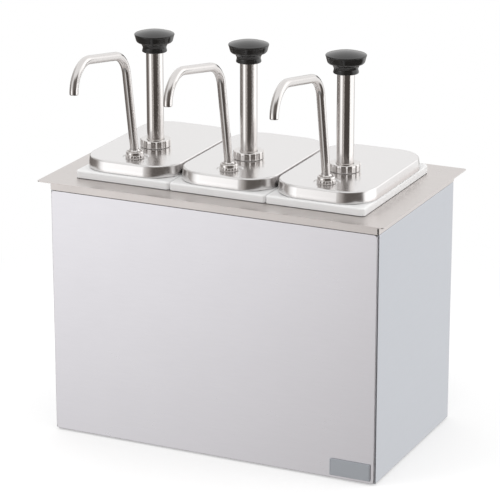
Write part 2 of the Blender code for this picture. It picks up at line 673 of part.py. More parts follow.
def build_valve_body(name, station, riser, swivel):
    """Foot valve: a cup for the cylinder, a ball seat below it and an angled socket for the tube."""
    cup_top = CYLINDER_BOTTOM + VALVE_CUP_DEPTH
    body = (
        (0, cup_top), (VALVE_RADIUS, cup_top), (VALVE_RADIUS, VALVE_BOTTOM + VALVE_EDGE),
        (VALVE_RADIUS - VALVE_EDGE, VALVE_BOTTOM), (0, VALVE_BOTTOM),
    )
    valve = turned(name, body, valve_plastic, station)
    boolean(valve, cylinder(name + "_boss", BOSS_RADIUS, -BOSS_BELOW, BOSS_ABOVE,
                            valve_plastic, riser), "UNION")
    above_boss = CYLINDER_BOTTOM + 3 * VALVE_CUP_DEPTH
    cup_radius = CYLINDER_RADIUS + THREAD_CLEARANCE
    inlet_top = VALVE_BOTTOM + INLET_HEIGHT
    bore = (
        (0, above_boss), (cup_radius, above_boss), (cup_radius, VALVE_FLOOR),
        (INTAKE_CHAMBER_RADIUS, VALVE_FLOOR), (INTAKE_CHAMBER_RADIUS, INTAKE_SEAT),
        (INTAKE_SEAT_RADIUS, INTAKE_SEAT), (INTAKE_SEAT_RADIUS, inlet_top + INLET_TAPER),
        (INLET_RADIUS, inlet_top), (INLET_RADIUS, VALVE_BOTTOM - CUT_MARGIN),
        (0, VALVE_BOTTOM - CUT_MARGIN),
    )
    boolean(valve, turned(name + "_bore", bore, valve_plastic, station))
    past_boss = BOSS_ABOVE + 4 * CUT_MARGIN
    socket = (
        (0, past_boss), (TUBE_RADIUS + GAP, past_boss), (TUBE_RADIUS + GAP, -GAP),
        (DISCHARGE_CHAMBER_RADIUS, -GAP), (DISCHARGE_CHAMBER_RADIUS, -DISCHARGE_SEAT_BELOW),
        (DISCHARGE_SEAT_RADIUS, -DISCHARGE_SEAT_BELOW), (DISCHARGE_SEAT_RADIUS, -PASSAGE_BELOW),
        (0, -PASSAGE_BELOW),
    )
    boolean(valve, turned(name + "_socket", socket, valve_plastic, riser, steps=16))
    crossing = INTAKE_SEAT + DISCHARGE_SEAT_RADIUS + PASSAGE_ABOVE_SEAT
    behind_nut = Vector((0, riser_y(crossing) - NUT_Y, 0))
    start = Vector((0, NUT_Y, 0)) + Matrix.Rotation(swivel, 3, "Z") @ behind_nut
    passage = cylinder(name + "_passage", DISCHARGE_SEAT_RADIUS, -start.length, 0, valve_plastic,
                       station, 12)
    passage.rotation_euler = (-math.pi / 2, 0, math.atan2(start.x, -start.y))
    passage.location = (0, 0, crossing)
    boolean(valve, passage)


def build_balls(number, station, riser):
    rest = math.sqrt(INTAKE_BALL_RADIUS ** 2 - INTAKE_SEAT_RADIUS ** 2) + GAP
    ball(f"intake_ball_{number}", INTAKE_BALL_RADIUS, steel_bright, station,
         (0, 0, INTAKE_SEAT + rest))
    rest = math.sqrt(DISCHARGE_BALL_RADIUS ** 2 - DISCHARGE_SEAT_RADIUS ** 2) + GAP
    ball(f"discharge_ball_{number}", DISCHARGE_BALL_RADIUS, steel_bright, riser,
         (0, 0, rest - DISCHARGE_SEAT_BELOW))


def build_discharge_tube(name, turntable):
    """Bent tube: a leaning riser, a gently climbing run forward and a bend down to the outlet."""
    up = Vector((0, -TUBE_TILT, 1)).normalized()
    forward = Vector((0, -1, TUBE_RUN_RISE)).normalized()
    down = Vector((0, 0, -1))
    foot_y = riser_y(TUBE_BOTTOM)
    base = Vector((0, foot_y, TUBE_BOTTOM))
    run_height = TUBE_RUN_AT_AXIS - TUBE_RUN_RISE * foot_y
    climb = (run_height - TUBE_BOTTOM) / (1 - TUBE_RUN_RISE * TUBE_TILT)
    upper_corner = base + Vector((0, -TUBE_TILT * climb, climb))
    outlet_corner = Vector((0, OUTLET_Y, TUBE_RUN_AT_AXIS - TUBE_RUN_RISE * OUTLET_Y))
    points = [base]
    points += arc_points(upper_corner, up, forward, TUBE_BEND_RADIUS, TUBE_BEND_STEPS)
    points += arc_points(outlet_corner, forward, down, OUTLET_BEND_RADIUS, OUTLET_BEND_STEPS)
    points.append(Vector((0, OUTLET_Y, OUTLET_BOTTOM)))
    curve = bpy.data.curves.new(name, "CURVE")
    curve.dimensions = "3D"
    curve.bevel_depth = TUBE_RADIUS
    curve.bevel_resolution = 3
    spline = curve.splines.new("POLY")
    spline.points.add(len(points) - 1)
    for point, place in zip(spline.points, points):
        point.co = (*place, 1.0)
    tube = add_object(name, curve, steel_bright, turntable, (0, -NUT_Y, 0))
    solidify(tube, TUBE_WALL)


def build_discharge_nut(name, station):
    shoulder = NUT_BOTTOM + NUT_LOBE_HEIGHT
    top = NUT_BOTTOM + NUT_HEIGHT
    flute = NUT_RADIUS - FLUTE_DEPTH
    band = NUT_RADIUS - NUT_BAND_STEP
    sections = (
        (NUT_BOTTOM, NUT_RADIUS, flute), (shoulder, NUT_RADIUS, flute),
        (shoulder + NUT_BAND_STEP, band, band), (top - NUT_CHAMFER, band, band),
        (top, band - NUT_CHAMFER, band - NUT_CHAMFER),
    )
    nut = add_object(name, fluted_solid(name, NUT_LOBES, sections), steel_bright, station,
                     (0, NUT_Y, 0))
    bore = cylinder(name + "_bore", TUBE_RADIUS + NUT_BORE_CLEARANCE, NUT_BOTTOM - CUT_MARGIN,
                    top + CUT_MARGIN, steel_bright, station, 16)
    bore.location = (0, NUT_Y, 0)
    boolean(nut, bore)


def station_places():
    first = -STATION_PITCH * (STATION_COUNT - 1) / 2
    return [first + STATION_PITCH * step for step in range(STATION_COUNT)]


def build_station(number, x):
    """One jar with its pump, on empties at the pump's axis, the nut's axis and the riser's foot."""
    swivel = math.radians(TUBE_SWIVEL[number - 1])
    station = empty(f"station_{number}", None, (x, PUMP_Y, 0), (0, 0, 0))
    turntable = empty(f"tube_turntable_{number}", station, (0, NUT_Y, 0), (0, 0, swivel))
    riser = empty(f"riser_axis_{number}", turntable, (0, riser_y(TUBE_BOTTOM) - NUT_Y, TUBE_BOTTOM),
                  (math.atan(TUBE_TILT), 0, 0))

    build_jar(f"jar_{number}", station)
    build_lid(f"lid_{number}", station)
    build_lock_collar(f"lock_collar_{number}", station)
    build_cylinder(f"cylinder_{number}", station)
    build_plunger(number, station)
    build_spring(f"return_spring_{number}", station)
    build_valve_body(f"valve_body_{number}", station, riser, swivel)
    build_balls(number, station, riser)
    build_discharge_tube(f"discharge_tube_{number}", turntable)
    build_discharge_nut(f"discharge_nut_{number}", station)


clear_scene()
parts = new_collection(COLLECTION_NAME)
cutters = new_collection("cutters")

steel_front = material("steel_front_panel", (0.74, 0.74, 0.76), 0.34, 1.0)
steel_side = material("steel_cabinet", (0.66, 0.68, 0.70), 0.36, 1.0)
steel_plate = material("steel_top_plate", (0.70, 0.68, 0.66), 0.38, 1.0)
steel_lid = material("steel_lid", (0.76, 0.75, 0.74), 0.26, 1.0)
steel_bright = material("steel_pump", (0.72, 0.70, 0.68), 0.16, 1.0)
jar_plastic = material("jar_white_plastic", (0.88, 0.88, 0.87), 0.42)
knob_plastic = material("knob_black_plastic", (0.012, 0.012, 0.013), 0.14)
valve_plastic = material("valve_plastic", (0.80, 0.80, 0.78), 0.45)
seal_rubber = material("seal_rubber", (0.05, 0.05, 0.05), 0.65)
foot_rubber = material("foot_rubber", (0.03, 0.03, 0.03), 0.80)
plate_grey = material("nameplate_silver", (0.58, 0.59, 0.60), 0.40, 0.8)

build_panels()
build_base()
build_skirt_frame()
build_top_plate()
build_nameplate()
for index, place_x in enumerate(station_places()):
    build_station(index + 1, place_x)
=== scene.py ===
"""Looks of the three-jar condiment pump dispenser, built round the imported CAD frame.

Units are metres in the row frame: +Z is up and the discharge tubes point towards -Y.
Every finer mesh stands in for one CAD node and rides on that node's body.
"""

import json
import math

import bmesh
import bpy
from mathutils import Matrix, Vector
from mathutils.geometry import tessellate_polygon

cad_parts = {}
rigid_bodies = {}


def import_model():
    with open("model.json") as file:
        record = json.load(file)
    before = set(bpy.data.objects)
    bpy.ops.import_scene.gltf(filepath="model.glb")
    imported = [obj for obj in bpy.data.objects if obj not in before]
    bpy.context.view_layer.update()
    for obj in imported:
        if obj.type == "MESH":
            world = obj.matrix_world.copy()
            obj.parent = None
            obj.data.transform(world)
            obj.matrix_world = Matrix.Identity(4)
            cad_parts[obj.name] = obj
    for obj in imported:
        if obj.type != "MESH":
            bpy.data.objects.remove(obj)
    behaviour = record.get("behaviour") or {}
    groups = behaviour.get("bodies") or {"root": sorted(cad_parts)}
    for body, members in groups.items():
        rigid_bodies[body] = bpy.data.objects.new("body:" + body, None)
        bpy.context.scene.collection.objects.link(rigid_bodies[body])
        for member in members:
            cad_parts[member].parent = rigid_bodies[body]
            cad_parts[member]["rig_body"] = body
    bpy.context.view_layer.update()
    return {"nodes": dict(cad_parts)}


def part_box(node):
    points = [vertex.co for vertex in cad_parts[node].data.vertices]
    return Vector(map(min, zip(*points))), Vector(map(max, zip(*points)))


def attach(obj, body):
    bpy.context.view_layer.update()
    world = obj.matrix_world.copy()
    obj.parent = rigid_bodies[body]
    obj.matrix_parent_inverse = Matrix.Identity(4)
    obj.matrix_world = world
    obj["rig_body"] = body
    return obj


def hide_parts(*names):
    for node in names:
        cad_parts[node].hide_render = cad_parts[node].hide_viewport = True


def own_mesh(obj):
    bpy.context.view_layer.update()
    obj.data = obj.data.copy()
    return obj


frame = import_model()
cad = frame["nodes"]
scene = bpy.context.scene

STATIONS = (1, 2, 3)
GAP = 0.0003                      # clearance between neighbouring pieces
SHEET = 0.0008                    # thickness of the panels and lids
TILT = 0.1760                     # the riser leans forward this much for each metre up
CROSSING = 0.3290                 # height at which a riser's axis meets the axis of its nut
TUBE_FOOT = 0.1519                # height of a riser's lower end
SWIVEL = {1: 0.0, 2: math.radians(-2.2), 3: 0.0}    # how far each tube is turned about its nut

# ---------------------------------------------------------------- shader helpers


def link(tree, output, socket):
    """Wire one node's output to another's socket."""
    tree.links.new(output, socket)


def coordinates(tree, stretch, turn=(0, 0, 0)):
    """Object coordinates multiplied by a frequency in cycles per metre for each axis."""
    source = tree.nodes.new("ShaderNodeTexCoord")
    mapping = tree.nodes.new("ShaderNodeMapping")
    mapping.inputs["Scale"].default_value = stretch
    mapping.inputs["Rotation"].default_value = turn
    link(tree, source.outputs["Object"], mapping.inputs["Vector"])
    return mapping.outputs["Vector"]


def noise(tree, vector, detail=2.0, roughness=0.5, distortion=0.0):
    """Grey noise of about one blob for each unit of the vector."""
    texture = tree.nodes.new("ShaderNodeTexNoise")
    texture.inputs["Scale"].default_value = 1.0
    texture.inputs["Detail"].default_value = detail
    texture.inputs["Roughness"].default_value = roughness
    texture.inputs["Distortion"].default_value = distortion
    link(tree, vector, texture.inputs["Vector"])
    return texture.outputs[0]


def remap(tree, value, low, high, to_low=0.0, to_high=1.0, smooth=False):
    """The value's place between low and high, clamped and carried to the other range."""
    node = tree.nodes.new("ShaderNodeMapRange")
    if smooth:
        node.interpolation_type = "SMOOTHSTEP"
    link(tree, value, node.inputs["Value"])
    node.inputs["From Min"].default_value = low
    node.inputs["From Max"].default_value = high
    node.inputs["To Min"].default_value = to_low
    node.inputs["To Max"].default_value = to_high
    return node.outputs["Result"]


def maths(tree, operation, first, second):
    """One operation on two numbers or sockets."""
    node = tree.nodes.new("ShaderNodeMath")
    node.operation = operation
    for socket, value in zip(node.inputs, (first, second)):
        if isinstance(value, (int, float)):
            socket.default_value = value
        else:
            link(tree, value, socket)
    return node.outputs[0]


def tinted(tree, colour, factor):
    """The colour times a grey factor."""
    node = tree.nodes.new("ShaderNodeMix")
    node.data_type = "RGBA"
    node.blend_type = "MULTIPLY"
    node.inputs["Factor"].default_value = 1.0
    node.inputs["A"].default_value = (*colour, 1.0)
    link(tree, factor, node.inputs["B"])
    return node.outputs["Result"]


def bumped(tree, shader, height, strength, distance):
    """Give the shader a relief from a grey height."""
    node = tree.nodes.new("ShaderNodeBump")
    node.inputs["Strength"].default_value = strength
    node.inputs["Distance"].default_value = distance
    link(tree, height, node.inputs["Height"])
    link(tree, node.outputs["Normal"], shader.inputs["Normal"])


def fresh_material(name):
    """New material with its node tree and its Principled shader."""
    made = bpy.data.materials.new(name)
    made.use_nodes = True
    return made, made.node_tree, made.node_tree.nodes["Principled BSDF"]


def steel(name, colour, roughness, along, across=1500.0, run=9.0, grain=0.07, cloud=0.03,
          relief=0.10, scuffs=0.05):
    """Brushed stainless steel. along is the axis of the brushing, or "ring" for turned marks about Z.

    across and run are the grain's cycles per metre over and along the brushing. grain and cloud are the
    depths of its fine and broad changes of tone.
    """
    made, tree, shader = fresh_material(name)
    stretch = [across] * 3
    if along == "ring":
        stretch = [run, run, across]
    else:
        stretch["xyz".index(along)] = run
    fine = noise(tree, coordinates(tree, stretch), 3.0, 0.6)
    coarse = [value / (7.0 if value == across else 2.0) for value in stretch]
    broad = noise(tree, coordinates(tree, coarse), 2.0)
    smudge = noise(tree, coordinates(tree, (17.0, 17.0, 17.0)), 3.0, 0.55, 0.3)
    askew = coordinates(tree, [value * 0.45 for value in stretch], turn=(0.02, 0.03, 0.05))
    scratch_lines = noise(tree, askew, 0.0)
    scratch = remap(tree, scratch_lines, 0.76, 0.84)
    streaks = maths(tree, "ADD", maths(tree, "MULTIPLY", fine, grain),
                    maths(tree, "MULTIPLY", broad, grain * 0.6))
    tone = maths(tree, "ADD", streaks, maths(tree, "MULTIPLY", smudge, cloud))
    centred = maths(tree, "ADD", tone, 1.0 - (grain * 1.6 + cloud) / 2)
    lit = maths(tree, "SUBTRACT", centred, maths(tree, "MULTIPLY", scratch, scuffs * 0.5))
    link(tree, tinted(tree, colour, lit), shader.inputs["Base Color"])
    shader.inputs["Metallic"].default_value = 1.0
    uneven, satin = 0.02 + cloud, 0.02
    rough = maths(tree, "ADD", maths(tree, "MULTIPLY", smudge, uneven), maths(tree, "MULTIPLY", fine, satin))
    rough = maths(tree, "ADD", rough, maths(tree, "MULTIPLY", scratch, scuffs))
    link(tree, maths(tree, "ADD", rough, roughness - (uneven + satin) / 2), shader.inputs["Roughness"])
    bumped(tree, shader, fine, relief, 0.00015)
    return made


def moulded(name, colour, roughness, mottling=0.03, pores=900.0, relief=0.08, coat=0.0, depth=0.0):
    """Moulded plastic or rubber with a fine skin, faint mottling and handling marks."""
    made, tree, shader = fresh_material(name)
    skin = noise(tree, coordinates(tree, (pores, pores, pores)), 2.0)
    smudge = noise(tree, coordinates(tree, (28.0, 28.0, 28.0)), 3.0, 0.6, 0.4)
    hairline = noise(tree, coordinates(tree, (25.0, 900.0, 400.0), turn=(0.3, 0.2, 0.5)), 0.0)
    mark = remap(tree, hairline, 0.72, 0.78)
    tone = maths(tree, "ADD", maths(tree, "MULTIPLY", smudge, mottling), 1.0 - mottling / 2)
    link(tree, tinted(tree, colour, tone), shader.inputs["Base Color"])
    rough = maths(tree, "ADD", maths(tree, "MULTIPLY", smudge, 0.12), roughness - 0.06)
    rough = maths(tree, "ADD", rough, maths(tree, "MULTIPLY", mark, 0.08))
    link(tree, rough, shader.inputs["Roughness"])
    shader.inputs["Coat Weight"].default_value = coat
    shader.inputs["Coat Roughness"].default_value = 0.06
    if depth:
        shader.inputs["Subsurface Weight"].default_value = depth
        shader.inputs["Subsurface Radius"].default_value = (0.004, 0.004, 0.004)
        shader.inputs["Subsurface Scale"].default_value = 1.0
    bumped(tree, shader, skin, relief, 0.0001)
    return made


FINISHES = {
    "steel_front_panel": steel("brushed_front", (0.75, 0.739, 0.774), 0.28, "x", 2600.0, 90.0, 0.05, 0.0,
                               0.02, 0.01),
    "steel_cabinet": steel("brushed_cabinet", (0.55, 0.568, 0.605), 0.30, "y", 2600.0, 90.0, 0.045, 0.0,
                           0.02, 0.01),
    "steel_top_plate": steel("brushed_plate", (0.65, 0.612, 0.593), 0.30, "x", 1600.0, 60.0, 0.09, 0.09,
                             0.04, 0.03),
    "steel_lid": steel("brushed_lid", (0.79, 0.775, 0.77), 0.24, "y", 2000.0, 60.0, 0.02, 0.02, 0.02, 0.01),
    "steel_pump": steel("turned_pump", (0.74, 0.715, 0.70), 0.15, "ring", 1200.0, 60.0, 0.01, 0.03, 0.001,
                        0.01),
    "jar_white_plastic": moulded("jar_plastic", (0.87, 0.87, 0.87), 0.36, 0.03, 700.0, 0.06, 0.0, 0.10),
    "knob_black_plastic": moulded("knob_plastic", (0.014, 0.0135, 0.013), 0.14, 0.30, 800.0, 0.02, 0.10),
    "valve_plastic": moulded("valve_body_plastic", (0.80, 0.80, 0.78), 0.42, 0.05, 800.0, 0.08, 0.0, 0.08),
    "seal_rubber": moulded("seal_black_rubber", (0.035, 0.035, 0.036), 0.60, 0.25, 900.0, 0.20),
    "foot_rubber": moulded("foot_black_rubber", (0.028, 0.028, 0.029), 0.74, 0.30, 900.0, 0.30),
    "nameplate_silver": steel("satin_nameplate", (0.50, 0.53, 0.57), 0.40, "x", 2600.0, 60.0, 0.05),
}

SLOT_OF = {
    "front_panel": "steel_front_panel",
    "back_panel": "steel_cabinet",
    "side_panel": "steel_cabinet",
    "base_panel": "steel_cabinet",
    "skirt_frame": "steel_top_plate",
    "top_plate": "steel_top_plate",
    "nameplate": "nameplate_silver",
    "foot": "foot_rubber",
    "lid": "steel_lid",
    "lock_collar": "steel_pump",
    "cylinder": "steel_pump",
    "plunger_tube": "steel_pump",
    "return_spring": "steel_pump",
    "intake_ball": "steel_pump",
    "discharge_ball": "steel_pump",
    "discharge_tube": "steel_pump",
    "discharge_nut": "steel_pump",
    "jar": "jar_white_plastic",
    "knob": "knob_black_plastic",
    "piston_seal": "seal_rubber",
    "piston": "valve_plastic",
    "valve_body": "valve_plastic",
}


def slot_for(node):
    """Name of the finish of a CAD node."""
    return next(slot for prefix, slot in SLOT_OF.items() if node.startswith(prefix))


# ---------------------------------------------------------------- mesh helpers


def dress(node, mesh, location=(0, 0, 0), smooth=35, weighted=False):
    """Show a finer mesh in place of a CAD node, on the same body and with its finish."""
    look = bpy.data.objects.new(node + "_look", mesh)
    scene.collection.objects.link(look)
    look.location = location
    mesh.materials.clear()
    mesh.materials.append(FINISHES[slot_for(node)])
    mesh.shade_smooth()
    mesh.set_sharp_from_angle(angle=math.radians(smooth))
    if weighted:
        modifier = look.modifiers.new("flat_faces", "WEIGHTED_NORMAL")
        modifier.keep_sharp = True
        modifier.weight = 100
    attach(look, cad[node]["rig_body"])
    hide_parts(node)
    return look


def finished(bm, name, outwards=True):
    """Mesh made from the bmesh, its faces turned outwards unless they are already set."""
    if outwards:
        bmesh.ops.recalc_face_normals(bm, faces=bm.faces)
    mesh = bpy.data.meshes.new(name)
    bm.to_mesh(mesh)
    bm.free()
    return mesh


def bridge(bm, lower, upper):
    """Faces between two rings, either of which may be a single point on the axis."""
    if len(lower) == 1 and len(upper) == 1:
        return
    count = max(len(lower), len(upper))
    for step in range(count):
        after = (step + 1) % count
        corners = []
        for ring, order in ((lower, (step, after)), (upper, (after, step))):
            if len(ring) == 1:
                corners.append(ring[0])
            else:
                corners.extend(ring[index] for index in order)
        bm.faces.new(corners)


def lathe(name, profile, steps=96, closed=False, place=None):
    """Turned mesh about Z from (radius, height) points; place moves it into another frame."""
    bm = bmesh.new()
    rings = []
    for radius, height in profile:
        if radius == 0:
            rings.append([bm.verts.new((0, 0, height))])
            continue
        rings.append([bm.verts.new((radius * math.cos(2 * math.pi * step / steps),
                                    radius * math.sin(2 * math.pi * step / steps), height))
                      for step in range(steps)])
    for lower, upper in zip(rings, rings[1:]):
        bridge(bm, lower, upper)
    if closed:
        bridge(bm, rings[-1], rings[0])
    if place is not None:
        bmesh.ops.transform(bm, matrix=place, verts=bm.verts)
    return finished(bm, name)


def softened(points, times=2, share=0.25):
    """Round a polyline's corners by cutting them, keeping its two ends."""
    for _ in range(times):
        cut = [points[0]]
        for first, second in zip(points, points[1:]):
            cut.append(tuple(a + (b - a) * share for a, b in zip(first, second)))
            cut.append(tuple(b + (a - b) * share for a, b in zip(first, second)))
        cut.append(points[-1])
        points = cut
    return points


def outline(low, high, radii, segments=8):
    """Points of a rounded rectangle, anticlockwise; radii are for its front and back corners."""
    front, back = radii
    corners = ((low[0] + front, low[1] + front, front, 180), (high[0] - front, low[1] + front, front, 270),
               (high[0] - back, high[1] - back, back, 0), (low[0] + back, high[1] - back, back, 90))
    points = []
    for centre_x, centre_y, radius, start in corners:
        for step in range(segments + 1):
            turn = math.radians(start + 90 * step / segments)
            points.append((centre_x + radius * math.cos(turn), centre_y + radius * math.sin(turn)))
    return points


def circle(centre, radius, steps):
    """Points round a circle, anticlockwise."""
    return [(centre[0] + radius * math.cos(2 * math.pi * step / steps),
             centre[1] + radius * math.sin(2 * math.pi * step / steps)) for step in range(steps)]


def ring_of(bm, points, height):
    """New vertices at the points, all at one height."""
    return [bm.verts.new((x, y, height)) for x, y in points]


def fill_between(bm, outer, *holes):
    """Flat faces inside a ring of vertices and outside the rings of the holes."""
    loops = [[vert.co.copy() for vert in ring] for ring in (outer, *holes)]
    verts = [vert for ring in (outer, *holes) for vert in ring]
    for triangle in tessellate_polygon(loops):
        bm.faces.new([verts[index] for index in triangle])


def thickened(obj, thickness, rim_round=0.0, segments=2):
    """Give an open skin its sheet thickness inwards, with eased rims if asked."""
    modifier = obj.modifiers.new("thickness", "SOLIDIFY")
    modifier.thickness = thickness
    modifier.offset = -1.0
    modifier.use_even_offset = True
    if rim_round:
        rounded(obj, rim_round, segments, 50)


def rounded(obj, width, segments, angle):
    """Bevel the edges that turn by more than the angle, in degrees."""
    modifier = obj.modifiers.new("rounded_edges", "BEVEL")
    modifier.width = width
    modifier.segments = segments
    modifier.limit_method = "ANGLE"
    modifier.angle_limit = math.radians(angle)


def last(obj, kind):
    """Move the object's modifier of this kind to the end of its stack."""
    names = [modifier.name for modifier in obj.modifiers]
    for modifier in obj.modifiers:
        if modifier.type == kind:
            obj.modifiers.move(names.index(modifier.name), len(names) - 1)
            return


def combined(name, base, *steps):
    """The base mesh after each (operation, mesh) step of exact booleans."""
    target = bpy.data.objects.new(name, base)
    scene.collection.objects.link(target)
    guides = []
    for operation, mesh in steps:
        guide = bpy.data.objects.new(name + "_guide", mesh)
        scene.collection.objects.link(guide)
        guides.append(guide)
        modifier = target.modifiers.new(operation, "BOOLEAN")
        modifier.operation = operation
        modifier.object = guide
    bpy.context.view_layer.update()
    graph = bpy.context.evaluated_depsgraph_get()
    mesh = bpy.data.meshes.new_from_object(target.evaluated_get(graph))
    for obj in [target, *guides]:
        bpy.data.objects.remove(obj)
    return mesh


SHARP_FOLD = math.radians(60)


def folded_panel(name, size, open_side, fold, corner):
    """Sheet-metal tray with bent edges and rounded face corners, as an open skin."""
    axis = Vector(open_side)
    bm = bmesh.new()
    bmesh.ops.create_cube(bm, size=1.0, matrix=Matrix.Diagonal((*size, 1.0)))
    opening = [face for face in bm.faces if face.normal.dot(axis) > 0.5]
    bmesh.ops.delete(bm, geom=opening, context="FACES")
    standing = [edge for edge in bm.edges
                if abs((edge.verts[0].co - edge.verts[1].co).normalized().dot(axis)) > 0.5]
    bmesh.ops.bevel(bm, geom=standing, offset=corner, segments=8, profile=0.5, affect="EDGES")
    folds = [edge for edge in bm.edges
             if not edge.is_boundary and all(vert.co.dot(axis) < 0 for vert in edge.verts)
             and edge.calc_face_angle(0) > SHARP_FOLD]
    bmesh.ops.bevel(bm, geom=folds, offset=fold, segments=4, profile=0.5, affect="EDGES")
    return finished(bm, name)


# ---------------------------------------------------------------- cabinet


def middle(node):
    """Centre of a CAD node's box."""
    low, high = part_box(node)
    return (low + high) / 2


def dress_panels():
    """Front, back and side panels, each a tray with folded edges."""
    for node, open_side, fold, corner in (
        ("front_panel", (0, 1, 0), 0.0007, 0.0040), ("back_panel", (0, -1, 0), 0.0007, 0.0040),
        ("side_panel_left", (1, 0, 0), 0.0012, 0.0012), ("side_panel_right", (-1, 0, 0), 0.0012, 0.0012),
    ):
        low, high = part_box(node)
        look = dress(node, folded_panel(node, high - low, open_side, fold, corner), (low + high) / 2, 40,
                     True)
        thickened(look, SHEET)
        last(look, "WEIGHTED_NORMAL")


def dress_plate():
    """Top plate with small rounded corners and a cut-out under each jar."""
    plate_corner, cutout_corner = 0.0035, 0.014
    reach = Vector((0.0535, 0.0915, 0))
    low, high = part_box("top_plate")
    bm = bmesh.new()
    outer = ring_of(bm, outline(low, high, (plate_corner, plate_corner)), high.z)
    holes = []
    for number in STATIONS:
        centre = middle(f"jar_{number}")
        holes.append(ring_of(bm, outline(centre - reach, centre + reach, (cutout_corner, cutout_corner)),
                             high.z))
    fill_between(bm, outer, *holes)
    for face in bm.faces:
        if face.normal.z < 0:
            face.normal_flip()
    plate = dress("top_plate", finished(bm, "top_plate", False), (0, 0, 0), 40, True)
    thickened(plate, high.z - low.z, 0.0003, 3)
    last(plate, "WEIGHTED_NORMAL")


def dress_feet():
    """Rubber feet, each with a stem that snaps through the base panel."""
    pad, collar = 0.0040, 0.0009
    for node in ("foot_front_left", "foot_front_right", "foot_back_left", "foot_back_right"):
        low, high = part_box(node)
        radius = (high.x - low.x) / 2
        stem = radius / 3
        top = high.z
        seat = top - pad
        profile = [(0, top), (stem * 0.7, top), (stem, top - 0.0004), (stem + collar, seat + 0.0024),
                   (stem + collar, seat + 0.0011), (stem, seat + 0.0011), (stem, seat - 0.0003),
                   (radius - 0.0004, seat - 0.0003), (radius, seat - 0.0006), (radius, 0.0007),
                   (radius - 0.0003, 0.0002), (radius - 0.0008, 0), (0, 0)]
        centre = (low + high) / 2
        dress(node, lathe(node, profile, 56), (centre.x, centre.y, 0))


def dress_nameplate():
    """Blank plate with a rounded outline and a fine border groove."""
    low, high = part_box("nameplate")
    half_x, half_z = (high.x - low.x) / 2, (high.z - low.z) / 2
    depth = high.y - low.y
    bm = bmesh.new()
    rings = []
    corner_radius, smallest_radius, groove = 0.0012, 0.0003, 0.00012
    for inset, height in ((0.0, 0.0), (0.0, depth - 0.0002), (0.0001, depth - 0.00006), (0.0003, depth),
                          (0.0012, depth), (0.0013, depth - groove), (0.0016, depth - groove),
                          (0.0017, depth)):
        corner = max(corner_radius - inset, smallest_radius)
        points = outline((-half_x + inset, -half_z + inset), (half_x - inset, half_z - inset),
                         (corner, corner), 6)
        rings.append(ring_of(bm, points, height))
    for lower, upper in zip(rings, rings[1:]):
        bridge(bm, lower, upper)
    bm.faces.new(rings[-1])
    bm.faces.new(list(reversed(rings[0])))
    stand = Matrix.Rotation(math.radians(90), 4, "X")
    bmesh.ops.transform(bm, matrix=stand, verts=bm.verts)
    centre = (low + high) / 2
    dress("nameplate", finished(bm, "nameplate"), (centre.x, high.y, centre.z), 25, True)


def finish_kept_nodes():
    """The CAD nodes that stay in view get their finish and eased edges."""
    for node in ("skirt_frame", "base_panel"):
        obj = cad[node]
        obj.data.materials.clear()
        obj.data.materials.append(FINISHES[slot_for(node)])
        rounded(obj, 0.0002, 2, 40)


# ---------------------------------------------------------------- jars and lids


def dress_jar(number):
    """Jar as one skin: up the inside from the floor, over the rim and down its outside."""
    node = f"jar_{number}"
    low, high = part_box(node)
    wall, mouth, edge, taper, fillet = 0.0022, 0.0083, 0.0022, 0.0030, 0.0040
    inner_corner, front_corner, back_corner, smallest_radius = 0.0200, 0.0040, 0.0100, 0.0015
    plate_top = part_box("top_plate")[1].z
    floor = low.z + wall
    arc = [(math.sin(math.radians(18 * step)), math.cos(math.radians(18 * step))) for step in range(6)]
    stack = [(mouth + taper + fillet * (1 - sine), floor + fillet * (1 - cosine)) for sine, cosine in arc]
    stack.append((mouth + 0.0001, high.z - edge - 0.0010))
    stack += [(mouth - edge * (1 - cosine), high.z - edge * (1 - sine)) for sine, cosine in arc]
    rim_start = len(stack)
    stack += [(edge * (1 - sine), high.z - edge * (1 - cosine)) for sine, cosine in arc]
    stack.append((0.0, plate_top + GAP + 0.0004))
    stack.append((0.0003, plate_top + GAP))
    bm = bmesh.new()
    rings = []
    for index, (inset, height) in enumerate(stack):
        if index < rim_start:
            radii = (inner_corner, inner_corner)
        else:
            radii = [max(radius - inset, smallest_radius) for radius in (front_corner, back_corner)]
        points = outline((low.x + inset, low.y + inset), (high.x - inset, high.y - inset), radii, 7)
        rings.append(ring_of(bm, points, height))
    for lower, upper in zip(rings, rings[1:]):
        bridge(bm, lower, upper)
    bm.faces.new(rings[0])
    mesh = finished(bm, node)
    face = max(mesh.polygons, key=lambda polygon: len(polygon.vertices))
    if face.normal.z < 0:
        mesh.flip_normals()
    jar = dress(node, mesh, (0, 0, 0), 40, True)
    thickened(jar, wall)
    last(jar, "WEIGHTED_NORMAL")


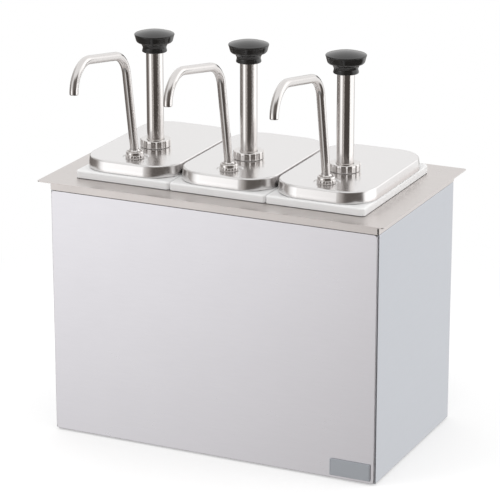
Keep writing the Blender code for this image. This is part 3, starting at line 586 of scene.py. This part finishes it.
def dress_lid(number):
    """Pressed lid: soft top edge, a round dish under the discharge nut and two holes."""
    node = f"lid_{number}"
    low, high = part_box(node)
    axis = middle(f"plunger_tube_{number}")
    nut = middle(f"discharge_nut_{number}")
    corner, draft, edge, steps = 0.0354, 0.0014, 0.0025, 7
    bm = bmesh.new()
    stack = [(0.0, low.z + 0.0002), (draft * 0.5, (low.z + high.z - edge) / 2)]
    for step in range(steps + 1):
        turn = math.radians(90 * step / steps)
        stack.append((draft + edge * (1 - math.cos(turn)), high.z - edge * (1 - math.sin(turn))))
    rings = []
    for inset, height in stack:
        points = outline((low.x + inset, low.y + inset), (high.x - inset, high.y - inset),
                         (corner - inset, corner - inset), 12)
        rings.append(ring_of(bm, points, height))
    for lower, upper in zip(rings, rings[1:]):
        bridge(bm, lower, upper)

    top = high.z
    dish_radius, dish_behind_nut, depth, lip = 0.0145, 0.0025, 0.0010, 0.0005
    neck_hole, riser_hole = 0.0131, 0.0058
    dish_centre = (nut.x, nut.y + dish_behind_nut)
    dish = []
    for across, down in ((lip * 1.6, 0), (lip * 0.9, 0.06), (lip * 0.3, 0.25), (0.0, 0.5), (-lip * 0.3, 0.75),
                         (-lip * 0.9, 0.94), (-lip * 1.8, 1.0)):
        dish.append(ring_of(bm, circle(dish_centre, dish_radius + across, 64), top - depth * down))
    for upper, lower in zip(dish, dish[1:]):
        bridge(bm, upper, lower)
    neck = ring_of(bm, circle((axis.x, axis.y), neck_hole, 64), top)
    tube_y = nut.y - TILT * (top - depth - CROSSING)
    tube_hole = ring_of(bm, circle((nut.x, tube_y), riser_hole, 32), top - depth)
    fill_between(bm, rings[-1], dish[0], neck)
    fill_between(bm, dish[-1], tube_hole)
    mesh = finished(bm, node)
    widest = max(mesh.polygons, key=lambda polygon: abs(polygon.normal.z) * polygon.area)
    if widest.normal.z < 0:
        mesh.flip_normals()
    lid = dress(node, mesh, (0, 0, 0), 40, True)
    thickened(lid, SHEET)
    last(lid, "WEIGHTED_NORMAL")


# ---------------------------------------------------------------- pumps


def shaped_rings(name, levels, count, shape, per_lobe):
    """Closed ring whose levels are (height, radius, depth of the flutes, shift along Y).

    shape gives a lobe's depth, from 0 to 1, at -1 to 1 across it.
    """
    bm = bmesh.new()
    total = count * per_lobe
    rings = []
    for height, radius, depth, shift in levels:
        ring = []
        for step in range(total):
            local = 2 * (step % per_lobe) / per_lobe - 1
            reach = radius - depth * shape(local)
            turn = 2 * math.pi * step / total
            ring.append(bm.verts.new((reach * math.cos(turn), reach * math.sin(turn) + shift, height)))
        rings.append(ring)
    for lower, upper in zip(rings, rings[1:] + rings[:1]):
        bridge(bm, lower, upper)
    return finished(bm, name)


def dress_collar(number):
    """Fluted lock collar, threaded below and with a guide bore for the plunger above."""
    node = f"lock_collar_{number}"
    low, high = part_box(node)
    ridge, depth, guide, thread = 0.0175, 0.0007, 0.01005, 0.01305
    tall = high.z - low.z
    levels = ((0.0, ridge - 0.0005, depth * 0.8, 0), (0.0003, ridge - 0.0001, depth, 0),
              (0.0006, ridge, depth, 0), (tall - 0.0011, ridge, depth, 0),
              (tall - 0.0006, ridge - 0.0002, depth * 0.9, 0),
              (tall - 0.0002, ridge - 0.0008, depth * 0.5, 0),
              (tall, ridge - 0.0015, 0, 0), (tall, guide + 0.0012, 0, 0),
              (tall - 0.0003, guide + 0.0005, 0, 0), (tall - 0.0008, guide, 0, 0),
              (tall - 0.0023, guide, 0, 0), (tall - 0.0023, thread, 0, 0), (0, thread, 0, 0))
    mesh = shaped_rings(node, levels, 18, lambda u: 1 - abs(u) ** 5, 16)
    axis = middle(f"plunger_tube_{number}")
    dress(node, mesh, (axis.x, axis.y, low.z), 28)


def dress_nut(number):
    """Small ring nut: lobed skirt, plain band, bright rim, groove and the flare at the tube's foot."""
    node = f"discharge_nut_{number}"
    low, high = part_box(node)
    centre = (low + high) / 2
    crossing = CROSSING - low.z

    def lean(height):
        return -TILT * (height - crossing)

    levels = [
        (0.0, 0.0101, 0.0003, 0), (0.0003, 0.0106, 0.0008, 0), (0.0008, 0.0107, 0.0010, 0),
        (0.0030, 0.0107, 0.0010, 0), (0.0037, 0.0105, 0.0008, 0), (0.0041, 0.0102, 0.0003, 0),
        (0.0043, 0.0098, 0, 0), (0.0047, 0.0097, 0, 0), (0.0050, 0.0100, 0, 0), (0.0066, 0.0100, 0, 0),
        (0.0074, 0.0098, 0, 0), (0.0080, 0.0093, 0, 0), (0.0082, 0.0087, 0, 0), (0.0081, 0.0082, 0, 0),
        (0.0077, 0.0079, 0, 0), (0.0066, 0.0078, 0, 0), (0.0062, 0.0077, 0, 0), (0.0062, 0.0071, 0, 0),
        (0.0066, 0.0069, 0, 0), (0.0080, 0.0068, 0, 0),
    ]
    levels += [(height, radius, 0, lean(height)) for height, radius in (
        (0.0086, 0.0067), (0.0092, 0.0061), (0.0098, 0.0056), (0.0106, 0.00525), (0.0108, 0.0051),
        (0.0060, 0.0051), (0.0, 0.0061))]
    mesh = shaped_rings(node, levels, 14, lambda u: abs(u) ** 4, 10)
    dress(node, mesh, (centre.x, centre.y, low.z), 30)


def dress_cylinder(number):
    """Pump cylinder with the shoulder that hangs under the lid."""
    node = f"cylinder_{number}"
    low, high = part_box(node)
    outer, wall, shoulder = 0.0127, 0.0010, 0.0170
    lid_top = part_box(f"lid_{number}")[1].z
    shoulder_top = lid_top - SHEET - GAP
    shoulder_low = shoulder_top - 0.0030
    ease = 0.0003
    profile = [(outer - ease, high.z), (outer, high.z - ease), (outer, shoulder_top),
               (shoulder - ease, shoulder_top), (shoulder, shoulder_top - ease),
               (shoulder, shoulder_low + ease), (shoulder - ease, shoulder_low), (outer, shoulder_low),
               (outer, low.z + ease), (outer - ease, low.z), (outer - wall, low.z), (outer - wall, high.z)]
    axis = middle(f"plunger_tube_{number}")
    dress(node, lathe(node, profile, 96, True), (axis.x, axis.y, 0))


def dress_plunger(number):
    """Plunger tube and the mushroom knob on its top."""
    tube_node, knob_node = f"plunger_tube_{number}", f"knob_{number}"
    low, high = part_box(tube_node)
    axis = (low + high) / 2
    place = (axis.x, axis.y, 0)
    profile = [(0.0095, high.z), (0.0097, high.z - 0.0002), (0.0097, low.z + 0.0003), (0.0094, low.z),
               (0.0087, low.z), (0.0087, high.z)]
    dress(tube_node, lathe(tube_node, profile, 96, True), place)

    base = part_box(knob_node)[0].z
    rim, crown, radius = 0.0203, 0.0245, 0.0227
    shape = [(0.0, crown)]
    for step in range(1, 13):
        across = 0.93 * step / 12
        shape.append((radius * across, rim + (crown - rim) * (1 - across * across)))
    shape += softened([shape.pop(), (radius * 0.985, rim + 0.0002), (radius, rim - 0.0004),
                       (radius - 0.0001, rim - 0.0012), (0.0223, 0.0186), (0.0209, 0.0131),
                       (0.0204, 0.0120), (0.0194, 0.0111)], 2)
    shape += softened([(0.0192, 0.0110), (0.0178, 0.0105), (0.0162, 0.0099), (0.0149, 0.0086),
                       (0.0143, 0.0074), (0.0136, 0.0058), (0.0134, 0.0050), (0.0135, 0.0036),
                       (0.0139, 0.0022), (0.01415, 0.0010), (0.0140, 0.0003), (0.0135, 0.0)], 2)
    bore = 0.0100
    shape += [(bore + 0.0004, 0.0), (bore, 0.0003), (bore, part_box(tube_node)[1].z + GAP - base),
              (0.0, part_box(tube_node)[1].z + GAP - base)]
    mesh = lathe(knob_node, [(r, base + h) for r, h in shape], 112)
    dress(knob_node, mesh, place, 50)


def dress_piston(number):
    """Piston with its stem in the plunger tube, and the seal in its groove."""
    node, seal_node = f"piston_{number}", f"piston_seal_{number}"
    low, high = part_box(node)
    seal_low, seal_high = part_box(seal_node)
    axis = middle(f"plunger_tube_{number}")
    head = (high.x - low.x) / 2
    stem = 0.0084
    head_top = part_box(f"plunger_tube_{number}")[0].z - GAP
    groove = (seal_low.z - GAP, seal_high.z + GAP)
    core = head - 0.0022
    profile = [(0, high.z), (stem - 0.0005, high.z), (stem, high.z - 0.0005), (stem, head_top),
               (head - 0.0004, head_top), (head, head_top - 0.0004), (head, groove[1]),
               (core, groove[1]), (core, groove[0]), (head, groove[0]), (head, low.z + 0.0004),
               (head - 0.0004, low.z), (0, low.z)]
    dress(node, lathe(node, profile, 72), (axis.x, axis.y, 0))
    outer = (seal_high.x - seal_low.x) / 2
    inner = core + GAP
    tall = seal_high.z - seal_low.z
    lip = []
    for step in range(13):
        share = step / 12
        bulge = 0.00035 * math.sin(math.pi * share * 2) ** 2
        lip.append((outer - 0.00035 + bulge, seal_high.z - tall * share))
    profile = lip + [(inner, seal_low.z), (inner, seal_high.z)]
    dress(seal_node, lathe(seal_node, profile, 72, True), (axis.x, axis.y, 0))


def swept(name, centres, sides, radius, steps):
    """Round bar with flat ends along a path; sides gives the two cross-section axes at each point."""
    bm = bmesh.new()
    rings = []
    for centre, (first, second) in zip(centres, sides):
        rings.append([bm.verts.new(centre + radius * (math.cos(2 * math.pi * step / steps) * first
                                                      + math.sin(2 * math.pi * step / steps) * second))
                      for step in range(steps)])
    for lower, upper in zip(rings, rings[1:]):
        bridge(bm, lower, upper)
    bm.faces.new(list(reversed(rings[0])))
    bm.faces.new(rings[-1])
    return finished(bm, name)


def dress_spring(number):
    """Coiled return spring, which shortens as its plunger goes down."""
    node = f"return_spring_{number}"
    low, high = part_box(node)
    axis = middle(f"plunger_tube_{number}")
    wire, coil, turns, per_turn = 0.0007, 0.0086, 8, 40
    bottom, top = low.z + wire, high.z - wire
    count = turns * per_turn
    centres, sides = [], []
    for step in range(count + 1):
        turn = 2 * math.pi * step / per_turn
        out = Vector((math.cos(turn), math.sin(turn), 0))
        centres.append(coil * out + Vector((0, 0, bottom + (top - bottom) * step / count)))
        climb = Vector((-math.sin(turn), math.cos(turn), (top - bottom) / (turns * 2 * math.pi * coil)))
        sides.append((out, out.cross(climb.normalized())))
    spring = dress(node, swept(node, centres, sides, wire, 10), (axis.x, axis.y, 0), 60)
    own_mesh(spring)


def bend(corner, before, after, radius, steps):
    """Points round a bend of a path between the unit directions before and after its corner."""
    half = before.angle(after) / 2
    centre = corner + (after - before).normalized() * (radius / math.cos(half))
    start = corner - before * (radius * math.tan(half))
    spin = before.cross(after).normalized()
    return [centre + Matrix.Rotation(2 * half * step / steps, 3, spin) @ (start - centre)
            for step in range(steps + 1)]


def turned_about_nut(nut_y, number):
    """Matrix that turns a station's discharge tube about the upright axis of its nut."""
    return (Matrix.Translation((0, nut_y, 0)) @ Matrix.Rotation(SWIVEL[number], 4, "Z")
            @ Matrix.Translation((0, -nut_y, 0)))


def dress_discharge_tube(number):
    """Bent discharge tube: leaning riser, a run that falls slightly forward, and the outlet."""
    node = f"discharge_tube_{number}"
    axis = middle(f"plunger_tube_{number}")
    nut_y = middle(f"discharge_nut_{number}").y - axis.y
    radius, wall, rise = 0.0048, 0.0008, 0.157
    run_at_axis, outlet_y, outlet_z = 0.4351, -0.1882, 0.4287
    riser_bend_radius, outlet_bend_radius = 0.0320, 0.0300
    up = Vector((0, -TILT, 1)).normalized()
    forward = Vector((0, -1, rise)).normalized()
    down = Vector((0, 0, -1))
    foot_y = nut_y - TILT * (TUBE_FOOT - CROSSING)
    base = Vector((0, foot_y, TUBE_FOOT))
    climb = (run_at_axis - rise * foot_y - TUBE_FOOT) / (1 - rise * TILT)
    upper = base + Vector((0, -TILT * climb, climb))
    outlet = Vector((0, outlet_y, run_at_axis - rise * outlet_y))
    path = [base, base + up * 0.0005]
    riser_bend = bend(upper, up, forward, riser_bend_radius, 22)
    path += [base.lerp(riser_bend[0], share) for share in (0.25, 0.5, 0.75)]
    path += riser_bend
    path += bend(outlet, forward, down, outlet_bend_radius, 30)
    path += [Vector((0, outlet_y, outlet_z + 0.0004)), Vector((0, outlet_y, outlet_z))]
    across = Vector((1, 0, 0))
    bm = bmesh.new()
    count = 40
    skins = []
    for reach in (radius, radius - wall):
        rings = []
        for index, point in enumerate(path):
            ahead = path[min(index + 1, len(path) - 1)] - path[max(index - 1, 0)]
            side = across.cross(ahead.normalized())
            at_end = index in (0, len(path) - 1)
            ease = 0.00015 if at_end else 0.0
            size = reach - ease if reach == radius else reach + ease
            rings.append([bm.verts.new(point + size * (math.cos(2 * math.pi * step / count) * across
                                                       + math.sin(2 * math.pi * step / count) * side))
                          for step in range(count)])
        for lower, upper_ring in zip(rings, rings[1:]):
            bridge(bm, lower, upper_ring)
        skins.append(rings)
    bridge(bm, skins[0][0], skins[1][0])
    bridge(bm, skins[0][-1], skins[1][-1])
    bmesh.ops.transform(bm, matrix=turned_about_nut(nut_y, number), verts=bm.verts)
    dress(node, finished(bm, node), (axis.x, axis.y, 0), 40)


def dress_valve(number):
    """Foot valve with its cup, seat and the angled socket, and the two balls."""
    node = f"valve_body_{number}"
    axis = middle(f"plunger_tube_{number}")
    nut_y = middle(f"discharge_nut_{number}").y - axis.y
    cylinder_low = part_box(f"cylinder_{number}")[0].z
    foot_y = nut_y - TILT * (TUBE_FOOT - CROSSING)
    riser = (turned_about_nut(nut_y, number) @ Matrix.Translation((0, foot_y, TUBE_FOOT))
             @ Matrix.Rotation(math.atan(TILT), 4, "X"))
    bottom, outer, cup_top = 0.0800, 0.0160, cylinder_low + 0.0100
    floor, seat = 0.1433, 0.1256
    body = [(0, cup_top), (outer - 0.0005, cup_top), (outer, cup_top - 0.0005), (outer, bottom + 0.0020),
            (outer - 0.0006, bottom + 0.0006), (outer - 0.0020, bottom), (0, bottom)]
    boss = [(0, 0.0160), (0.0071, 0.0160), (0.0076, 0.0155), (0.0076, -0.0295), (0.0071, -0.0300),
            (0, -0.0300)]
    above = cylinder_low + 0.0300
    cup, ball_chamber, throat, inlet, passage_radius = 0.01305, 0.0055, 0.0035, 0.0080, 0.0026
    bore = [(0, above), (cup, above), (cup, floor), (ball_chamber, floor), (ball_chamber, seat),
            (throat, seat), (throat, bottom + 0.0310), (inlet, bottom + 0.0270), (inlet, bottom - 0.0010),
            (0, bottom - 0.0010)]
    socket = [(0, 0.0200), (0.0051, 0.0200), (0.0051, -GAP), (0.0047, -GAP), (0.0047, -0.0145),
              (passage_radius, -0.0145), (passage_radius, -0.0255), (0, -0.0255)]
    crossing = seat + 0.0032
    start = turned_about_nut(nut_y, number) @ Vector((0, nut_y - TILT * (crossing - CROSSING), 0))
    passage_place = (Matrix.Translation((0, 0, crossing))
                     @ Matrix.Rotation(math.atan2(start.x, -start.y), 4, "Z")
                     @ Matrix.Rotation(-math.pi / 2, 4, "X"))
    passage = [(0, 0), (passage_radius, 0), (passage_radius, -start.length), (0, -start.length)]
    mesh = combined(
        node, lathe(node, body, 72),
        ("UNION", lathe("boss", boss, 48, place=riser)),
        ("DIFFERENCE", lathe("bore", bore, 64)),
        ("DIFFERENCE", lathe("socket", socket, 40, place=riser)),
        ("DIFFERENCE", lathe("passage", passage, 24, place=passage_place)),
    )
    dress(node, mesh, (axis.x, axis.y, 0), 35)
    for ball in (f"intake_ball_{number}", f"discharge_ball_{number}"):
        ball_low, ball_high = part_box(ball)
        radius = (ball_high.z - ball_low.z) / 2
        profile = [(radius * math.sin(math.pi * step / 24), radius * math.cos(math.pi * step / 24))
                   for step in range(25)]
        profile[0], profile[-1] = (0, radius), (0, -radius)
        dress(ball, lathe(ball, profile, 48), (ball_low + ball_high) / 2, 180)


# ---------------------------------------------------------------- stage


FLOOR_RADIUS = 0.78
FLOOR_FADE = (0.42, 0.72)         # the floor turns into backdrop between these radii


def build_floor():
    """Pale disc that fades into the backdrop before its edge."""
    bm = bmesh.new()
    bmesh.ops.create_circle(bm, cap_ends=True, segments=96, radius=FLOOR_RADIUS)
    floor = bpy.data.objects.new("studio_floor", finished(bm, "studio_floor"))
    scene.collection.objects.link(floor)
    if floor.data.polygons[0].normal.z < 0:
        floor.data.flip_normals()
    made = bpy.data.materials.new("studio_floor")
    made.use_nodes = True
    tree = made.node_tree
    tree.nodes.clear()
    length = tree.nodes.new("ShaderNodeVectorMath")
    length.operation = "LENGTH"
    link(tree, coordinates(tree, (1, 1, 1)), length.inputs[0])
    fade = remap(tree, length.outputs["Value"], *FLOOR_FADE, smooth=True)
    surface = tree.nodes.new("ShaderNodeBsdfDiffuse")
    surface.inputs["Color"].default_value = (0.60, 0.60, 0.60, 1)
    base = tree.nodes.new("ShaderNodeEmission")
    base.inputs["Color"].default_value = (1, 1, 1, 1)
    base.inputs["Strength"].default_value = 0.45
    lit = tree.nodes.new("ShaderNodeAddShader")
    link(tree, surface.outputs[0], lit.inputs[0])
    link(tree, base.outputs[0], lit.inputs[1])
    glow = tree.nodes.new("ShaderNodeEmission")
    glow.inputs["Color"].default_value = (1, 1, 1, 1)
    glow.inputs["Strength"].default_value = BACKDROP
    mix = tree.nodes.new("ShaderNodeMixShader")
    link(tree, fade, mix.inputs[0])
    link(tree, lit.outputs[0], mix.inputs[1])
    link(tree, glow.outputs[0], mix.inputs[2])
    output = tree.nodes.new("ShaderNodeOutputMaterial")
    link(tree, mix.outputs[0], output.inputs["Surface"])
    floor.data.materials.append(made)
    floor.visible_glossy = False


BACKDROP = 1.0                    # what the camera sees behind the object
# Brightness of the studio round the object, by compass angle from -Y towards +X, in degrees.
STUDIO = ((-180, 0.50), (-140, 0.20), (-75, 0.16), (-62, 0.30), (-50, 0.96), (-36, 1.18), (-27, 1.46),
          (-23, 1.12), (-18, 0.50), (-8, 0.44), (4, 0.28), (12, 0.07), (78, 0.07), (84, 1.35), (140, 1.50),
          (150, 1.00), (162, 1.06), (170, 0.98), (180, 0.50))
# The same above the horizon, which the lids and the plate reflect.
STUDIO_HIGH = ((-180, 1.00), (-120, 1.00), (-100, 0.55), (-70, 0.45), (-50, 0.75), (-29, 1.02), (-10, 0.50),
               (10, 0.16), (76, 0.16), (90, 1.10), (130, 1.50), (150, 1.40), (168, 1.00), (180, 1.00))
# And low down, which the leaning tubes reflect.
STUDIO_LOW = ((-180, 0.20), (-60, 0.20), (-30, 0.34), (-14, 0.50), (-5, 0.85), (8, 0.85), (16, 0.10),
              (138, 0.10), (150, 0.98), (168, 0.98), (180, 0.20))
NADIR = 0.30                      # straight down
CEILING = 0.97                    # straight up
WARM_BELOW, WARMTH = 0.7, 0.22    # walls darker than the first are tinted, by up to the second


def walls(tree, turn, stops_wanted):
    """Colour round the horizon from (degrees, level) stops; the dark parts are slightly warm.

    A ramp's colours end at 1, so the levels go in halved and come out doubled.
    """
    ramp = tree.nodes.new("ShaderNodeValToRGB")
    stops = ramp.color_ramp.elements
    while len(stops) > 1:
        stops.remove(stops[0])
    for index, (degrees, level) in enumerate(stops_wanted):
        place = (degrees + 180) / 360
        stop = stops[0] if index == 0 else stops.new(place)
        stop.position = place
        warmth = max(0.0, 1.0 - level / WARM_BELOW) * WARMTH
        stop.color = (level / 2, level / 2 * (1 - 0.6 * warmth), level / 2 * (1 - warmth), 1)
    link(tree, turn, ramp.inputs[0])
    return tinted(tree, (2, 2, 2), ramp.outputs[0])


def faded(tree, factor, first, second):
    """The first colour where the factor is 0 and the second, a colour or a level, where it is 1."""
    mix = tree.nodes.new("ShaderNodeMix")
    mix.data_type = "RGBA"
    link(tree, factor, mix.inputs["Factor"])
    link(tree, first, mix.inputs["A"])
    if isinstance(second, float):
        mix.inputs["B"].default_value = (second, second, second, 1)
    else:
        link(tree, second, mix.inputs["B"])
    return mix.outputs["Result"]


def shaded(tree, colour, factor):
    """The linked colour times a linked grey factor."""
    node = tree.nodes.new("ShaderNodeVectorMath")
    node.operation = "SCALE"
    link(tree, colour, node.inputs[0])
    link(tree, factor, node.inputs["Scale"])
    return node.outputs["Vector"]


def build_world():
    """Soft studio: white backdrop to the eye, with darker walls for the metal to reflect."""
    world = bpy.data.worlds.new("studio")
    scene.world = world
    world.use_nodes = True
    tree = world.node_tree
    tree.nodes.clear()
    source = tree.nodes.new("ShaderNodeTexCoord")
    parts = tree.nodes.new("ShaderNodeSeparateXYZ")
    link(tree, source.outputs["Generated"], parts.inputs[0])
    angle = maths(tree, "ARCTAN2", parts.outputs["X"], maths(tree, "MULTIPLY", parts.outputs["Y"], -1.0))
    turn = remap(tree, angle, -math.pi, math.pi)
    low = walls(tree, turn, STUDIO)
    high = walls(tree, turn, STUDIO_HIGH)
    lowest = walls(tree, turn, STUDIO_LOW)
    # In front the wall darkens downwards, so that the front panel does too.
    in_front = remap(tree, parts.outputs["Y"], 0.3, -0.3)
    fall = remap(tree, parts.outputs["Z"], -0.50, -0.20, 0.48, 1.26)
    shade = maths(tree, "ADD", 1.0, maths(tree, "MULTIPLY", in_front, maths(tree, "SUBTRACT", fall, 1.0)))
    level = shaded(tree, low, shade)
    eye = tree.nodes.new("ShaderNodeLightPath").outputs["Is Camera Ray"]
    height = parts.outputs["Z"]
    # On the right the low band starts a little higher.
    dropped = maths(tree, "SUBTRACT", height, remap(tree, parts.outputs["X"], 0.38, 0.55, 0.0, 0.07))
    for factor, other in (
        (remap(tree, height, -0.12, 0.14, smooth=True), high),
        (remap(tree, dropped, -0.40, -0.47, smooth=True), lowest),
        (remap(tree, height, -0.70, -0.90, smooth=True), NADIR),
        (remap(tree, height, 0.50, 0.80, smooth=True), CEILING),
        (eye, BACKDROP),
    ):
        level = faded(tree, factor, level, other)
    back = tree.nodes.new("ShaderNodeBackground")
    link(tree, level, back.inputs["Color"])
    output = tree.nodes.new("ShaderNodeOutputWorld")
    link(tree, back.outputs[0], output.inputs["Surface"])


def soft_light(name, place, size, energy):
    """Disk light aimed at the object, which the metal doesn't mirror."""
    light = bpy.data.lights.new(name, "AREA")
    light.shape = "DISK"
    light.size = size
    light.energy = energy
    lamp = bpy.data.objects.new(name, light)
    scene.collection.objects.link(lamp)
    lamp.location = place
    lamp.rotation_euler = (Vector((0, 0, 0.2)) - lamp.location).to_track_quat("-Z", "Y").to_euler()
    lamp.visible_glossy = False
    lamp.visible_camera = False


def build_lights():
    """Large key from above on the left, with fills in front and on the right."""
    soft_light("soft_key", (-1.3, -1.0, 2.4), 1.6, 16.0)
    soft_light("front_fill", (0.3, -2.2, 0.8), 1.4, 12.5)
    soft_light("side_fill", (2.2, 0.2, 0.7), 1.2, 12.0)


def build_camera():
    """Long-lens camera from the front right, looking slightly down."""
    data = bpy.data.cameras.new("camera")
    data.sensor_width = 36.0
    data.lens = 185.16
    data.shift_x = 0.0011
    data.clip_start, data.clip_end = 0.1, 20.0
    camera = bpy.data.objects.new("camera", data)
    scene.collection.objects.link(camera)
    camera.location = (1.1777, -2.4840, 1.1178)
    camera.rotation_euler = Vector((-0.4034, 0.8612, -0.3092)).to_track_quat("-Z", "Y").to_euler()
    scene.camera = camera


dress_panels()
dress_plate()
dress_feet()
dress_nameplate()
finish_kept_nodes()
for station in STATIONS:
    dress_jar(station)
    dress_lid(station)
    dress_collar(station)
    dress_nut(station)
    dress_cylinder(station)
    dress_plunger(station)
    dress_piston(station)
    dress_spring(station)
    dress_discharge_tube(station)
    dress_valve(station)
build_floor()
build_world()
build_lights()
build_camera()
scene.view_settings.view_transform = "Standard"
scene.view_settings.look = "None"
